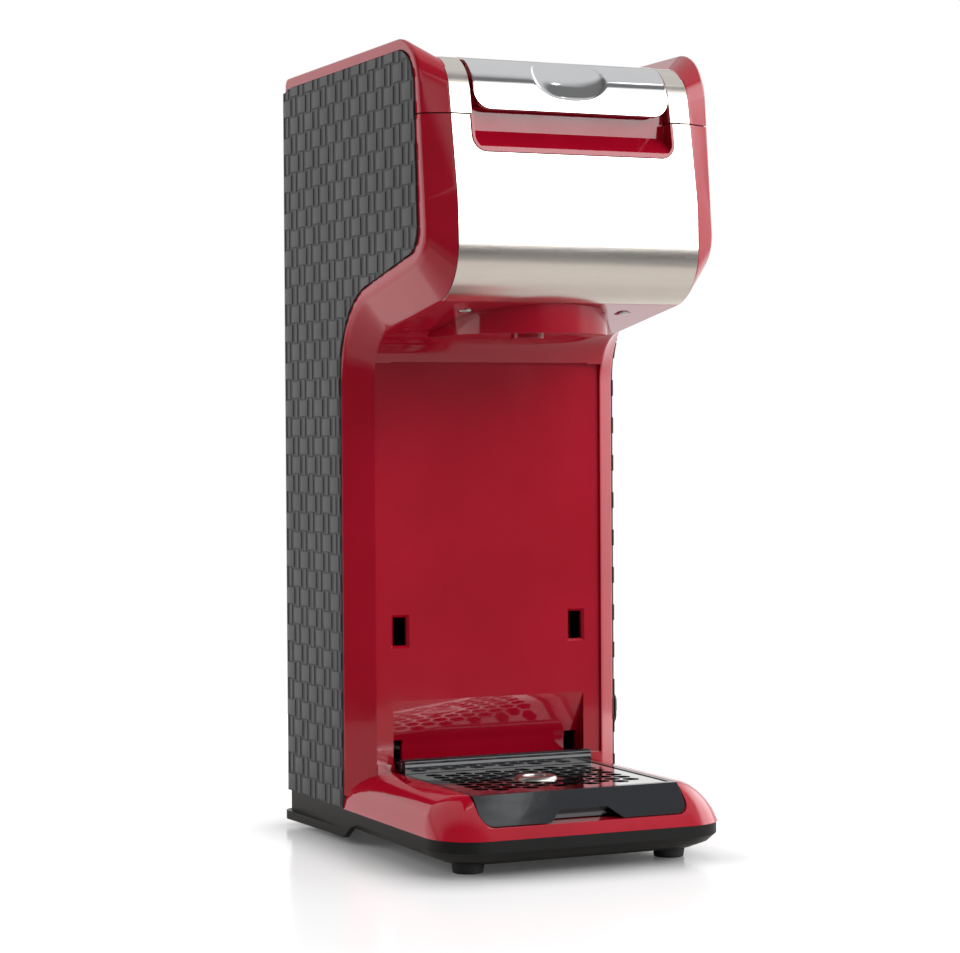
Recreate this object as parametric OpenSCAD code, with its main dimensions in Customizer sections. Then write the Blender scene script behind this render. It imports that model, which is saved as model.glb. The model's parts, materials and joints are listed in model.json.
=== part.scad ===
// Single-serve pod coffee machine: a C-shaped housing with a hinged lid over the
// pod chamber and water tank, and a drip tray that slides out of the base.
// Millimetres, +Z up, +X to the right and the front faces -Y. Inside the modules
// Y is measured back from the front edge of the base; in_frame() moves the parts
// so that the origin is the bottom centre of the whole machine.

/* [Housing] */
// Height of the machine over the lid's side ribs
overall_h = 320; // [310:1:340]
// Width of the red housing
body_w = 124; // [120:1:136]
// Depth from the front edge of the base to the back plane
body_d = 168; // [166:1:180]
// Depth of the column behind the cup, from its front face to the back plane
column_d = 72.5; // [71:0.5:76]
// Wall of the housing
wall = 2.5; // [2:0.1:3]
// Width of the slanted side ribs
rib_w = 10.5; // [9:0.5:12]
// Rounding of the ribs' outer edge
edge_r = 1.6; // [1:0.1:2.4]
// Rounding of the crease between a rib and the middle
crease_r = 0.8; // [0.5:0.1:1.2]
// How far the ribs stand above the middle of the lid
rib_rise = 7; // [5:0.5:9]
// Height of the lid from its split line to the top of the ribs
lid_h = 30.8; // [28:0.2:34]
// Height of the brew head from its lower front corner to the split line
head_h = 68; // [62:1:74]
// Slope of the head's underside in degrees
under_slope = 9.5; // [6:0.5:12]
// Seam between the lid and the housing
seam = 0.5; // [0.3:0.1:0.8]

/* [Head front] */
// Setback of the steel front at the split line
front_top_y = 14.7; // [13:0.1:16]
// Setback of the steel front at its bend
front_bend_y = 8.6; // [8:0.1:9.5]
// Setback of the steel front at its lowest stretch
front_low_y = 7.5; // [6.5:0.1:8]
// Height of the bend above the lower front corner
bend_h = 34.8; // [30:0.2:38]
// Radius where the steel front rolls under the head
roll_r = 22; // [16:1:24]
// Radius where the lid's front rolls over the top
brow_r = 18; // [14:1:22]
// Setback of the ribs' outer edge behind the steel front
rib_setback = 7; // [5:0.5:9]
// Thickness of the steel sheets
sheet_t = 0.8; // [0.6:0.1:1.2]

/* [Side panels] */
// Thickness of each side panel
panel_t = 2; // [1.6:0.1:2.4]
// How far each side panel stands out of the housing
panel_proud = 1; // [0.6:0.1:1.2]
// Relief of the weave on the side panels
weave_rise = 0.5; // [0.3:0.1:0.7]
// Depth of a cell of the weave
weave_w = 8.8; // [7:0.2:10]
// Height of a cell of the weave
weave_h = 8; // [6:0.5:9]
// Red margin above the side panels
panel_margin = 4.8; // [4:0.2:6]
// Setback of the panels' front edge at the lid
panel_front_y = 25.8; // [24:0.2:28]

/* [Handle and pocket] */
// Width of the chrome handle
handle_w = 83.2; // [76:0.4:86]
// Thickness of the handle at its lower lip
handle_t = 2.2; // [1.8:0.1:2.6]
// Width of the thumb scoop in the handle
scoop_w = 31; // [26:1:34]
// Depth of the thumb scoop
scoop_t = 1.5; // [1:0.1:1.7]
// How far the handle stands out of the lid's front
handle_proud = 1.2; // [0.8:0.1:1.6]
// Height of the handle's lower edge above the split line
handle_lift = 2.2; // [1.6:0.1:3]
// Depth of the pocket behind the handle, measured at the split line
pocket_depth = 5; // [4:0.2:6]
// Drop of the pocket below the split line
pocket_drop = 14.2; // [12:0.2:16]
// Height of the pocket's slanted floor
pocket_rise = 8.5; // [6:0.5:9.5]
// Corner radius of the pocket
pocket_r = 6; // [4:0.5:8]

/* [Base] */
// Height of the rubber feet
foot_h = 4.6; // [4:0.2:6]
// Height of the black base between feet and red housing
base_h = 10; // [9:0.2:12]
// Height of the red rim of the base
rim_h = 15.4; // [14.6:0.2:17]
// Radius of the base's front corners in plan
base_r = 19; // [14:1:22]
// Width of the flange round the back of the black base
flange = 3; // [2.5:0.1:3.5]
// Radius of the rubber feet
foot_r = 6.5; // [5.5:0.5:7.5]

/* [Drip tray] */
// Width of the drip tray
tray_w = 88.4; // [84:0.4:90]
// Wall of the drip tray
tray_wall = 1.8; // [1.6:0.1:2.2]
// Height of the red sill under the drip tray
sill_h = 4.3; // [4:0.1:5]
// Thickness of the drip grille
grille_t = 1.2; // [1:0.1:1.5]
// Pitch of the grille's hexagons across their flats
hex_pitch = 7.6; // [7:0.1:9]
// Web between neighbouring hexagons
hex_web = 1.2; // [1:0.1:1.8]
// Radius of the disc in the middle of the grille
disc_r = 8.6; // [7:0.2:10]
// Radius of the bar along the tray's back edge
bar_r = 3.4; // [3:0.1:3.8]

/* [Cup bay] */
// Height of the raised-tray slots above the floor
slot_z = 87; // [80:1:110]
// Sideways distance of each tray slot from the middle
slot_x = 40; // [36:0.5:40.5]
// Width of a tray slot
slot_w = 6; // [5:0.5:7]
// Height of a tray slot
slot_h = 11.6; // [10:0.2:13]
// Height of the hollow behind the tray's bar above the floor
hollow_z = 58.5; // [54:0.5:64]
// Width of that hollow
hollow_w = 86.8; // [86:0.4:90]

/* [Brewing] */
// Distance of the pod's axis from the front edge of the base
pod_y = 57; // [56:0.2:60]
// Inner radius of the pod chamber at its mouth
pod_r = 23; // [22:0.2:23.4]
// Depth of the pod chamber
pod_h = 44; // [42:1:46]
// Radius of the drum under the head
drum_r = 32; // [30:0.5:34]
// Height of the drum's lower face below the lower front corner of the head
drum_drop = 14.2; // [13:0.2:16]
// Width of the water tank
tank_w = 100; // [90:1:106]
// Height of the water tank
tank_h = 92; // [70:1:110]
// Radius of the heater's bend
heater_r = 20; // [16:1:21]
// Radius of the hoses
hose_r = 3.5; // [3:0.1:4]

/* [Hinge and button] */
// Radius of the lid's hinge barrel
barrel_r = 7.6; // [6.5:0.1:7.8]
// Radius of the hinge pins
pin_r = 2; // [1.6:0.1:2.4]
// Length of the button along the side of the machine
button_l = 18; // [14:1:22]
// Height of the button
button_w = 12; // [10:1:14]
// Height of the button's middle above the floor
button_z = 49.5; // [46:0.5:60]
// How far the button moves in
button_travel = 1.2; // [0.8:0.1:1.4]

/* [Fits] */
// Clearance between pieces that are fixed to each other
fit_gap = 0.3; // [0.2:0.05:0.4]
// Clearance round pieces that slide or swing
slide_gap = 0.4; // [0.35:0.05:0.6]
// Radial clearance of the hinge pins in the lid
run_gap = 0.06; // [0.03:0.01:0.1]

/* [Hidden] */

$fn = 48;
eps = 0.01;
arc_steps = 12;
far = 400;

overall_d = body_d + flange;
half_w = body_w / 2;
rib_x = half_w - rib_w;
side_in = half_w - wall;
seam_z = foot_h + base_h;
rim_z = seam_z + rim_h;
split_z = overall_h - lid_h;
top_z = overall_h - rib_rise;
under_z = split_z - head_h;
bend_z = under_z + bend_h;
col_y = body_d - column_d;
groove = 1.4;
rib_col_y = col_y - groove;
edge_col_y = col_y + 8.5;
under_tan = tan(under_slope);
front_tan = (front_top_y - front_bend_y) / (split_z - bend_z);
low_z = rim_z - 10;

// Head, column and lid seen from the side, as [y, z, corner radius], counterclockwise
// from the top back corner, from where the whole outline is in view.
inner_corners = [
    [body_d, top_z, 3],
    [front_top_y + (top_z - split_z) * front_tan, top_z, brow_r],
    [front_bend_y, bend_z, 80],
    [front_low_y, under_z, roll_r],
    [rib_col_y, under_z - (rib_col_y - front_low_y) * under_tan, 20],
    [rib_col_y, low_z, 0],
    [body_d, low_z, 0]];
// The same outline at the outer edge of the ribs.
rib_drop = under_z + 13.3;
// The ribs' outer outline stands higher than the ribs do once their outer edge is rounded.
rib_top = overall_h + edge_r / 4 * (1 + rib_rise / rib_w) / (1 - edge_r / (4 * rib_w));
outer_corners = [
    [body_d, rib_top, 4],
    [front_bend_y + rib_setback + 7.1, rib_top, 22],
    [front_bend_y + rib_setback + 0.9, bend_z, 80],
    [front_low_y + rib_setback - 0.1, rib_drop, 14],
    [edge_col_y, rib_drop - 17.5, 34],
    [edge_col_y, low_z, 0],
    [body_d, low_z, 0]];
// Side panel, which is also the outline of the side wall above the split line.
panel_back = body_d - 0.5;
panel_corners = [
    [panel_back, seam_z + fit_gap, 0],
    [panel_back, overall_h - panel_margin, 0],
    [panel_front_y, overall_h - panel_margin, 15],
    [panel_front_y - 4.4, under_z + 17.1, 10],
    [edge_col_y + 0.6, under_z - 0.9, 37],
    [edge_col_y + 0.6, seam_z + fit_gap, 0]];

// Lid hinge
axis_y = body_d - 8;
axis_z = split_z + 4.8;
rim_swing = overall_h - panel_margin - axis_z;
lid_side = side_in - slide_gap;
ear_x = side_in - 6;
ear_r = 5;
ear_swing = 10.8;
pin_in = 12;

// Top deck, pod chamber and tank
deck_t = 2.5;
deck_z = split_z - 4.2;
deck_front = front_top_y + 8.6;
pod_wall = 1.6;
holder_r = pod_r + pod_wall;
flange_r = holder_r + 5.4;
seat_r = pod_r + 2;
pocket_y = front_top_y + pocket_depth;
pocket_back = pocket_y + 2;
flange_t = 2;
holder_top = deck_z + flange_t;
holder_floor = holder_top - pod_h;
drum_z = under_z - drum_drop;
spout_r = 4;
liner_z = split_z + seam / 2;
liner_t = 2;
cover_y = body_d - 0.2 - wall;
tank_back = cover_y - 6;
tank_front = col_y + 23.5;
tank_z = deck_z - deck_t - tank_h;
tank_t = 2;

// Water path
riser_x = heater_r;
riser_y = tank_front - 6;
heater_z = seam_z + 20;
heater_tube = 5;
elbow_r = 7;
leg_end = riser_y + elbow_r;
heater_y = leg_end + 18;
outlet_y = riser_y + 2 * elbow_r;
valve_z = 95;
valve_h = 20;
valve_r = 6;
dock_r = 4.5;

// Tray
sill_z = seam_z + sill_h;
tray_z = sill_z + fit_gap;
tray_half = tray_w / 2;
bay_half = tray_half + slide_gap;
tray_r = 5;
tray_back = rib_col_y - slide_gap;
front_bevel = 15.4;
bar_y = rib_col_y - bar_r - 1.2;
bar_z = rim_z + 2;
ledge_z = rim_z - grille_t - 0.3;
grille_front = 18;
grille_back = bar_y - bar_r - 1;
disc_y = (grille_front + grille_back) / 2;
hollow_y = col_y + 6.5;
tab_z = bar_z - 1.4;
tab_t = 3.4;
side_bevel = half_w - bay_half - 0.6;

// Button
button_y = col_y + 19.5;
button_r = 3;
button_out = half_w + panel_proud + 1.6;
board_x = side_in - 9.5;
board_y = button_y + 3;
board_t = 1.6;
standoff = 5;

// Fasteners
screw_r = 1.5;
head_r = 3;
head_t = 1.4;
base_screw_x = side_in - 7;
base_screw_y = [48, col_y + 16, cover_y - 7];
base_screw_z = foot_h + 1.6;
back_screw_z = [seam_z + 31.4, deck_z - 35];
back_screw_x = side_in - 5;
head_screw_x = drum_r + 2.3;
head_screw_y = pod_y - 16.5;
head_screw_z = under_z - (head_screw_y - front_low_y) * under_tan - 0.6;
liner_screw_y = [axis_y - 52, axis_y - 12];
liner_screw_x = 45;

module in_frame() translate([0, -overall_d / 2, 0]) children();
module both_sides() { children(); mirror([1, 0, 0]) children(); }
// Extrudes a [y, z] outline along X, from x0 to x1.
module across(x0, x1) translate([x0, 0, 0]) rotate([90, 0, 90]) linear_extrude(x1 - x0) children();
module yz_box(y0, z0, y1, z1) translate([y0, z0]) square([y1 - y0, z1 - z0]);
module along_y(y0, y1) translate([0, y0, 0]) rotate([-90, 0, 0]) mirror([0, 1, 0])
    linear_extrude(y1 - y0) children();
module rod_x(x0, x1, r) translate([x0, 0, 0]) rotate([0, 90, 0]) cylinder(r = r, h = x1 - x0);
module rod_y(y0, y1, r) translate([0, y0, 0]) rotate([-90, 0, 0]) cylinder(r = r, h = y1 - y0);

function unit(v) = v / norm(v);
function wrap(a) = a > 180 ? a - 360 : a < -180 ? a + 360 : a;
// Arc that rounds the corner p1 between p0 and p2.
function corner_arc(p0, p1, p2, r) =
    let (u = unit(p0 - p1), v = unit(p2 - p1), half = acos(u * v) / 2,
        c = p1 + unit(u + v) * r / sin(half),
        s = p1 + u * r / tan(half) - c,
        e = p1 + v * r / tan(half) - c,
        a0 = atan2(s[1], s[0]),
        sweep = wrap(atan2(e[1], e[0]) - a0))
    [for (i = [0 : arc_steps]) c + r * [cos(a0 + sweep * i / arc_steps), sin(a0 + sweep * i / arc_steps)]];
function flat(p) = [p[0], p[1]];
function rounded(corners) =
    let (m = len(corners))
    [for (i = [0 : m - 1])
        let (a = corners[(i + m - 1) % m], b = corners[i], c = corners[(i + 1) % m])
        each b[2] == 0 ? [flat(b)] : corner_arc(flat(a), flat(b), flat(c), b[2])];

// Rounded rectangle about the origin.
module pad(w, h, r) polygon(rounded([[w / 2, -h / 2, r], [w / 2, h / 2, r], [-w / 2, h / 2, r],
    [-w / 2, -h / 2, r]]));

// Closed solid through sections that all have as many points, each seen counterclockwise
// from the side of the last. All of a section is in view from its first point.
module skin(sections) {
    m = len(sections[0]);
    last = m * (len(sections) - 1);
    polyhedron(
        points = [for (section = sections) each section],
        faces = concat(
            [[for (i = [0 : m - 1]) i], [for (i = [m : -1 : 1]) last + i % m]],
            [for (k = [0 : m : last - m], i = [0 : m - 1]) each
                let (a = k + i, b = k + (i + 1) % m) [[a, a + m, b + m], [a, b + m, b]]]));
}
function at_x(x, outline) = [for (p = outline) [x, p[0], p[1]]];
function at_z(z, outline) = [for (p = outline) [p[0], p[1], z]];

// Plan of the base at a level: half width, setback of its front edge and corner radius.
function base_plan(half, front, r, back = body_d) =
    rounded([[half, back, 1], [-half, back, 1], [-half, front, r], [half, front, r]]);
module base_slab(z, h, half, front, r, back = body_d)
    translate([0, 0, z]) linear_extrude(h) polygon(base_plan(half, front, r, back));

// Red rim of the base, whose sides and front lean in towards the tray.
module base_rim() skin([for (a = [0 : 15 : 90])
    at_z(seam_z + rim_h * sin(a), base_plan(half_w - side_bevel * (1 - cos(a)),
        front_bevel * pow(sin(a), 1.15), base_r - (base_r - 6) * (1 - cos(a)), body_d - 2))]);

module head_2d() polygon(rounded(inner_corners));
module rib_2d() polygon(rounded(outer_corners));
// Side panel, with its top back corner cut so that the lid's rim can swing over it.
module panel_2d() difference() {
    polygon(rounded(panel_corners));
    difference() {
        yz_box(axis_y, axis_z, body_d + 1, overall_h);
        translate([axis_y, axis_z]) circle(r = rim_swing, $fn = 96);
    }
}

function bend(a, b, c, t) = (1 - t) * (1 - t) * a + 2 * t * (1 - t) * b + t * t * c;
// The outline with each point moved inwards by d.
function inset(outline, d) =
    let (m = len(outline))
    [for (i = [0 : m - 1])
        let (t = unit(outline[(i + 1) % m] - outline[(i + m - 1) % m]))
        outline[i] + d * [-t[1], t[0]]];
// Levels of a rib as [x, share of the outer outline, inset]: the crease to the middle,
// then the rounded outer edge.
rib_levels = concat(
    [for (t = [0 : 0.5 : 1]) [rib_x + crease_r * (2 * t - 1), bend(0, 0, crease_r / rib_w, t), 0]],
    [for (t = [0 : 0.25 : 1]) [bend(half_w - edge_r, half_w, half_w, t),
        bend(1 - edge_r / rib_w, 1, 1, t), edge_r * t * t]]);
// The whole closed machine, solid.
module machine_solid() {
    inner = rounded(inner_corners);
    outer = rounded(outer_corners);
    ribs = [for (level = rib_levels)
        [level[0], inset(inner + level[1] * (outer - inner), level[2])]];
    last = len(ribs) - 1;
    skin(concat(
        [for (i = [last : -1 : 0]) at_x(-ribs[i][0], ribs[i][1])],
        [for (rib = ribs) at_x(rib[0], rib[1])]));
    base_rim();
}

// Space of the lid above the level z0, at a gap from the side walls.
module lid_space(z0, gap, half) {
    across(-half_w - 5, half_w + 5) difference() {
        yz_box(-10, z0, body_d + 10, overall_h + 10);
        offset(delta = gap) panel_2d();
    }
    across(-half, half) yz_box(-10, z0, body_d + 10, overall_h + 10);
}

// Steel sheet round the front of the head, t thick.
module sheet_2d(t) difference() {
    head_2d();
    offset(delta = -t) head_2d();
}
sheet_end = front_low_y + 16.5;
sheet_half = rib_x - 0.2;

module pocket_2d(grow) translate([0, split_z]) pad(handle_w + 3.6 + 2 * grow, 2 * (pocket_drop + grow), pocket_r + grow);
module bay_2d(half, z0, r, top) polygon(rounded([[half, z0, r], [half, top, 0], [-half, top, 0], [-half, z0, r]]));

module tray_slot(z) translate([0, 0, z]) {
    translate([-slot_w / 2, col_y - 5, -slot_h / 2]) cube([slot_w, 18, slot_h]);
    hull() {
        translate([-slot_w / 2, col_y + 1, -slot_h / 2]) cube([slot_w, eps, slot_h]);
        translate([-slot_w / 2 - 1, col_y - eps, -slot_h / 2 - 1]) cube([slot_w + 2, eps, slot_h + 2]);
    }
}

module shell_cavity() {
    across(-side_in, side_in) union() {
        intersection() {
            offset(delta = -wall) rib_2d();
            yz_box(-5, under_z - 60, body_d, split_z + 30);
        }
        yz_box(edge_col_y + wall, seam_z - 5, body_d + 5, split_z + 40);
    }
    across(-rib_x + 1, rib_x - 1) union() {
        intersection() {
            offset(delta = -wall - 0.3) head_2d();
            yz_box(-5, under_z, body_d, split_z + 30);
        }
        yz_box(col_y + wall, hollow_z + 4, body_d, under_z + 10);
        yz_box(hollow_y + wall, seam_z - 5, body_d, hollow_z + 5);
    }
}

// Window of the button from x0 outwards, taller by the flange inside it.
module button_cut(x0, grow, flange) translate([x0, button_y, button_z]) rotate([90, 0, 90])
    linear_extrude(far) pad(button_l + 2 * grow, button_w + 2 * (grow + flange), button_r + grow);

module front_shell() color("crimson") in_frame() difference() {
    union() {
        difference() {
            machine_solid();
            lid_space(split_z - seam / 2, 0, side_in);
            shell_cavity();
        }
        both_sides() {
            for (z = back_screw_z) translate([back_screw_x - 4, cover_y - 14, z - 4])
                cube([8 + wall, 14 - fit_gap, 8]);
            for (y = [base_screw_y[1], base_screw_y[2]]) translate([base_screw_x - 4, y - 4, seam_z])
                cube([side_in - base_screw_x + 5, 8, 12]);
            // ledge that carries the top deck
            translate([side_in - 3, 60, deck_z - deck_t - 4]) cube([3 + wall / 2, 80, 4]);
        }
    }
    // seat of the steel sheet and cut-out for the pocket insert
    intersection() {
        across(-rib_x, rib_x) sheet_2d(sheet_t + 0.1);
        across(-rib_x, rib_x) yz_box(0, under_z - 6, sheet_end + 0.1, split_z + 1);
    }
    along_y(-5, front_top_y + 12) pocket_2d(0.05);
    // seats of the side panels
    both_sides() translate([half_w + panel_proud - panel_t, 0, 0])
        across(0, 5) offset(delta = fit_gap) panel_2d();
    // tray bay and the hollow behind the tray's bar
    along_y(-5, rib_col_y) bay_2d(bay_half, sill_z, tray_r + slide_gap, rim_z + 10);
    along_y(rib_col_y - 6, rib_col_y + eps)
        bay_2d(bay_half, rim_z + 9, 0.5, under_z - 24);
    across(-hollow_w / 2, hollow_w / 2)
        polygon([[rib_col_y - 2, sill_z], [hollow_y, sill_z], [hollow_y, rim_z + 9],
            [col_y, hollow_z], [rib_col_y - 2, hollow_z]]);
    // shallow panel in the column's front
    translate([-rib_x + 0.3, rib_col_y - 5, rim_z + 3])
        cube([2 * rib_x - 0.6, 5 + groove, under_z - 24.5 - rim_z - 3]);
    both_sides() translate([slot_x, 0, 0]) {
        tray_slot(slot_z);
        translate([-slot_w / 2, hollow_y - 1, tab_z - slide_gap]) cube([slot_w, 10, slot_h]);
    }
    // opening to the brew drum, shroud screws and back cover screws
    translate([0, pod_y, under_z - 25]) cylinder(r = drum_r - 8, h = 40);
    both_sides() translate([head_screw_x, head_screw_y, head_screw_z]) {
        cylinder(r = screw_r, h = 15);
        translate([0, 0, head_t - 5]) cylinder(r = head_r + fit_gap, h = 5);
    }
    both_sides() for (z = back_screw_z) translate([back_screw_x, 0, z]) rod_y(cover_y - 12, body_d, screw_r);
    both_sides() for (y = base_screw_y) translate([base_screw_x, y, 0]) cylinder(r = screw_r, h = seam_z + 10);
    button_cut(side_in - 1, slide_gap, 0);
    intersection() {
        button_cut(side_in - 4, slide_gap, 2);
        across(0, side_in) yz_box(0, 0, body_d, overall_h);
    }
}

// Raised blocks in every other cell of the weave.
module weave_2d() intersection() {
    panel_2d();
    for (i = [0 : ceil((panel_back - panel_front_y) / weave_w)],
        j = [0 : ceil((overall_h - seam_z) / weave_h)])
        if ((i + j) % 2 == 0)
            translate([panel_back - (i + 1) * weave_w - 0.3, seam_z + j * weave_h + 0.5])
                square([weave_w + 0.6, weave_h - 1]);
}
module side_panel() translate([half_w + panel_proud - panel_t, 0, 0]) {
    across(0, panel_t - weave_rise) panel_2d();
    across(panel_t - weave_rise - eps, panel_t) weave_2d();
}
module side_panel_left() color("dimgray") in_frame() mirror([1, 0, 0]) side_panel();
module side_panel_right() color("dimgray") in_frame() difference() {
    side_panel();
    button_cut(side_in, slide_gap, 0);
}

module back_cover() color("#26272a") in_frame() difference() {
    translate([-side_in + fit_gap, cover_y, seam_z + fit_gap])
        cube([2 * (side_in - fit_gap), wall, deck_z - deck_t - seam_z - 2 * fit_gap]);
    for (i = [0 : 9]) translate([-28, cover_y - 1, 206 + 6 * i]) cube([56, wall + 2, 2.4]);
    both_sides() for (z = back_screw_z) translate([back_screw_x, 0, z]) rod_y(cover_y - 1, body_d + 1, screw_r);
    translate([-38, 0, seam_z + 15]) rod_y(cover_y - 1, body_d + 1, 5);
}
module back_screws() color("silver") in_frame() both_sides() for (z = back_screw_z)
    translate([back_screw_x, 0, z]) {
        rod_y(cover_y + wall, cover_y + wall + head_t, head_r);
        rod_y(cover_y - 10, cover_y + wall, screw_r - 0.1);
    }
module cord_gland() color("#18181a") in_frame() translate([-38, 0, seam_z + 15]) difference() {
    union() {
        rod_y(cover_y - 3, body_d + 2.4, 4.9);
        rod_y(cover_y + wall, cover_y + wall + 1.6, 7);
        rod_y(cover_y - 1.8, cover_y, 6.4);
    }
    rod_y(cover_y - 4, body_d + 3, 3);
}

skirt_z = 2.6;
skirt_y = edge_col_y;
module base_plate() color("#1c1d20") in_frame() {
    difference() {
        union() {
            hull() {
                base_slab(seam_z - 4.6, 4.6, half_w - 0.4, 0.4, base_r, body_d - 0.2);
                base_slab(seam_z - 7.6, eps, half_w - 3.4, 3.4, base_r - 2, body_d - 2);
                base_slab(foot_h, eps, half_w - 9, 9, base_r - 6, body_d - 6);
            }
            // skirt round the back, rising towards the front
            intersection() {
                difference() {
                    base_slab(skirt_z, seam_z - skirt_z, half_w - 0.4, 40, 4, body_d - 0.2);
                    base_slab(skirt_z - 1, foot_h + 2, half_w - 0.4 - wall, 30, 4, body_d - 0.2 - wall);
                }
                across(-half_w, half_w) polygon([[skirt_y - 13, seam_z], [skirt_y - 13, seam_z - 4.9],
                    [skirt_y - 6, seam_z - 6.8], [skirt_y + 2, skirt_z], [body_d, skirt_z], [body_d, seam_z]]);
            }
            translate([0, 0, skirt_z + 0.2]) linear_extrude(3.6) difference() {
                polygon(rounded([[half_w + flange, overall_d, 7], [-half_w - flange, overall_d, 7],
                    [-half_w + 0.4, skirt_y + 6, 0], [half_w - 0.4, skirt_y + 6, 0]]));
                polygon(base_plan(half_w - 0.6, 30, 4, body_d - 0.4));
            }
        }
        // hollow inside, with bosses round the screws
        difference() {
            base_slab(foot_h + 3, base_h, half_w - 12, 12, base_r - 8, body_d - 10);
            both_sides() for (y = base_screw_y) translate([base_screw_x, y, 0]) cylinder(r = 4, h = 30);
        }
        both_sides() for (y = base_screw_y) translate([base_screw_x, y, 0]) {
            cylinder(r = screw_r, h = 30);
            cylinder(r = head_r + fit_gap, h = base_screw_z + head_t);
        }
    }
    // posts under the heater and rails of the control board
    both_sides() translate([heater_r, heater_y - 8, foot_h + 2])
        cylinder(r = 3.5, h = heater_z - heater_tube - foot_h - 2.1);
    translate([0, heater_y + heater_r, foot_h + 2])
        cylinder(r = 3.5, h = heater_z - heater_tube - foot_h - 2.1);
    for (y = [board_y + 2, board_y + 26]) translate([board_x - 3, y, foot_h + 2]) difference() {
        cube([8, 6, 20]);
        translate([3 - fit_gap, -1, seam_z + 4 - foot_h - 2]) cube([board_t + 2 * fit_gap, 8, 20]);
    }
}
module base_screws() color("silver") in_frame() both_sides() for (y = base_screw_y)
    translate([base_screw_x, y, base_screw_z]) {
        cylinder(r = head_r, h = head_t);
        cylinder(r = screw_r - 0.1, h = base_h + head_t + 5);
    }
foot_x = 43.6;
foot_y = [20.9, body_d - 18];
module rubber_feet() color("#101012") in_frame() both_sides() for (y = foot_y) translate([foot_x, y, 0])
    cylinder(r1 = foot_r - 0.6, r2 = foot_r, h = foot_h, $fn = 36);

module steel_front() color("lightgray") in_frame() difference() {
    intersection() {
        across(-sheet_half, sheet_half) sheet_2d(sheet_t);
        across(-rib_x, rib_x) yz_box(0, under_z - 6, sheet_end, split_z - seam / 2);
    }
    along_y(-5, front_top_y + 12) pocket_2d(0.2);
}

module pocket_insert() color("firebrick") in_frame() difference() {
    union() {
        // lip that hides the seam behind the handle
        translate([slide_gap - recess_half, pocket_y, split_z - 2])
            cube([2 * (recess_half - slide_gap), lip_t, 2 + lip_h]);
        intersection() {
        along_y(-5, pocket_back) pocket_2d(0);
        across(-rib_x, rib_x) difference() {
            intersection() {
                offset(delta = 0.5) head_2d();
                yz_box(-5, under_z, pocket_back, split_z - seam / 2);
            }
            polygon([[pocket_back + 1, split_z - 7], [pocket_back + 1, split_z - 20], [front_bend_y + 7, split_z - 20]]);
        }
      }
    }
    intersection() {
        along_y(-5, pocket_y) pocket_2d(-1.2);
        across(-rib_x, rib_x) polygon([[-5, split_z + 2], [-5, split_z - 20], [front_bend_y + 1, split_z - pocket_drop],
            [pocket_y, split_z - pocket_drop + pocket_rise], [pocket_y, split_z + 2]]);
    }
}

// Drum under the head, round in front, whose sides run back into the head's slope.
module drum(r, z, h) translate([0, pod_y, z]) linear_extrude(h) {
    circle(r = r);
    translate([-r, 0]) square([2 * r, rib_col_y - 5 - pod_y]);
}
module brew_shroud() color("firebrick") in_frame() difference() {
    drum(drum_r, drum_z, 20);
    across(-half_w, half_w) head_2d();
    drum(drum_r - 3, drum_z + 2, 30);
    translate([0, pod_y, drum_z - 1]) cylinder(r = 7, h = 5);
}
module head_screws() color("silver") in_frame() both_sides() translate([head_screw_x, head_screw_y, head_screw_z]) {
    cylinder(r = head_r, h = head_t);
    translate([0, 0, head_t]) cylinder(r = screw_r - 0.1, h = 6);
}
module brew_spout() color("firebrick") in_frame() translate([0, pod_y, 0]) rotate_extrude()
    polygon([[3, drum_z - 1.2], [6.6, drum_z - 1.2], [6.6, drum_z + 2], [11, drum_z + 2], [13, drum_z + 16],
        [11.6, drum_z + 16], [9.6, drum_z + 4], [3, drum_z + 4]]);

module pod_holder() color("#242528") in_frame() translate([0, pod_y, 0])
    rotate_extrude($fn = 64)
        polygon([[2, holder_floor - 8], [spout_r, holder_floor - 8], [spout_r, holder_floor - 2],
            [holder_r - 5, holder_floor - 2], [holder_r, deck_z - 4], [holder_r, deck_z], [flange_r, deck_z],
            [flange_r, holder_top], [seat_r, holder_top], [seat_r, holder_top - 1.2],
            [pod_r, holder_top - 1.2], [pod_r - 5, holder_floor], [2, holder_floor]]);
module lower_needle() color("silver") in_frame() translate([6, pod_y, holder_floor]) {
    cylinder(r = 1.3, h = 6);
    translate([0, 0, 6]) cylinder(r1 = 1.3, r2 = 0.2, h = 3);
}

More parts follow.
